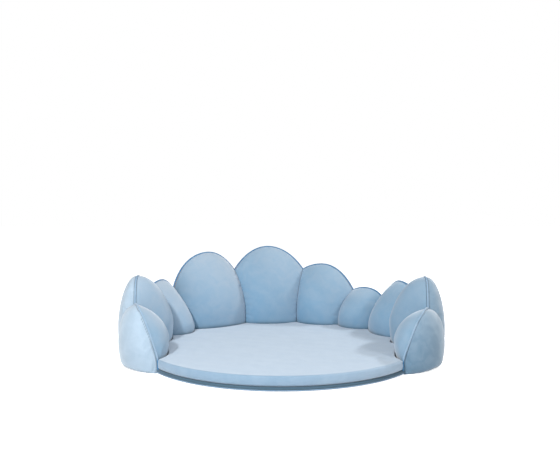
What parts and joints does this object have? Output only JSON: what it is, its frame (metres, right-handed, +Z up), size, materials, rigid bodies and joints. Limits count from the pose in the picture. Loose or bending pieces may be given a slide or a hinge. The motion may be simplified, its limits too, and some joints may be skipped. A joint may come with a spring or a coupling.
{
  "type": "round upholstered kids bed",
  "caption": "Low round kids bed: a thin round mattress on a thin plinth, inside a thick padded wall of puffy lobes with piped crest, open at the front.",
  "frame": {"origin": "on the floor under the middle of the round mattress and plinth", "axes": "+Z up, +Y towards the back of the wall, +X to the right seen from the open front"},
  "size_m": [2.1871, 1.9909, 0.668],
  "materials": {
    "inner_velvet": "short-pile velvet, light blue",
    "outer_velvet": "short-pile velvet, light blue",
    "piping_velvet": "velvet-covered cord",
    "mattress_velvet": "short-pile velvet, light blue",
    "plinth_velvet": "short-pile velvet, light blue",
    "core_foam": "cut foam",
    "top_foam": "cut soft foam",
    "bent_plywood": "bent birch plywood",
    "plywood_board": "sawn birch plywood",
    "pine": "planed pine",
    "zinc_fasteners": "zinc-plated steel",
    "zinc_plate": "zinc-plated steel sheet",
    "nylon": "moulded nylon",
    "nonwoven": "black nonwoven"
  },
  "bodies": {
    "bed": {"base_board_back": "plywood_board", "base_board_left": "plywood_board", "base_board_right": "plywood_board", "cleat_back": "pine", "cleat_left": "pine", "cleat_right": "pine", "crest_piping_back": "piping_velvet", "crest_piping_left": "piping_velvet", "crest_piping_right": "piping_velvet", "front_piping_left": "piping_velvet", "front_piping_right": "piping_velvet", "inner_pad_01": "inner_velvet", "inner_pad_02": "inner_velvet", "inner_pad_03": "inner_velvet", "inner_pad_04": "inner_velvet", "inner_pad_05": "inner_velvet", "inner_pad_06": "inner_velvet", "inner_pad_07": "inner_velvet", "inner_pad_08": "inner_velvet", "inner_pad_09": "inner_velvet", "inner_pad_10": "inner_velvet", "joint_battens_left": "pine", "joint_battens_right": "pine", "joint_bolts": "zinc_fasteners", "joint_nuts": "zinc_fasteners", "joint_washers": "zinc_fasteners", "outer_pad_01": "outer_velvet", "outer_pad_02": "outer_velvet", "outer_pad_03": "outer_velvet", "outer_pad_04": "outer_velvet", "outer_pad_05": "outer_velvet", "outer_pad_06": "outer_velvet", "outer_pad_07": "outer_velvet", "outer_pad_08": "outer_velvet", "outer_pad_09": "outer_velvet", "outer_pad_10": "outer_velvet", "plinth_board_left": "plywood_board", "plinth_board_right": "plywood_board", "plinth_cover": "plinth_velvet", "plinth_glides": "nylon", "plinth_underlining": "nonwoven", "plinth_welt": "piping_velvet", "tie_plates": "zinc_plate", "tie_screws": "zinc_fasteners", "wall_glides": "nylon", "wall_panel_back": "bent_plywood", "wall_panel_left": "bent_plywood", "wall_panel_right": "bent_plywood", "wall_underlining_back": "nonwoven", "wall_underlining_left": "nonwoven", "wall_underlining_right": "nonwoven"},
    "mattress": {"mattress_core": "core_foam", "mattress_cover": "mattress_velvet", "mattress_top_layer": "top_foam"}
  },
  "joints": [
    {"name": "mattress_lift", "type": "slide", "parent": "bed", "child": "mattress", "axis": [0, 0, 1], "range_m": [0, 0.66]}
  ]
}
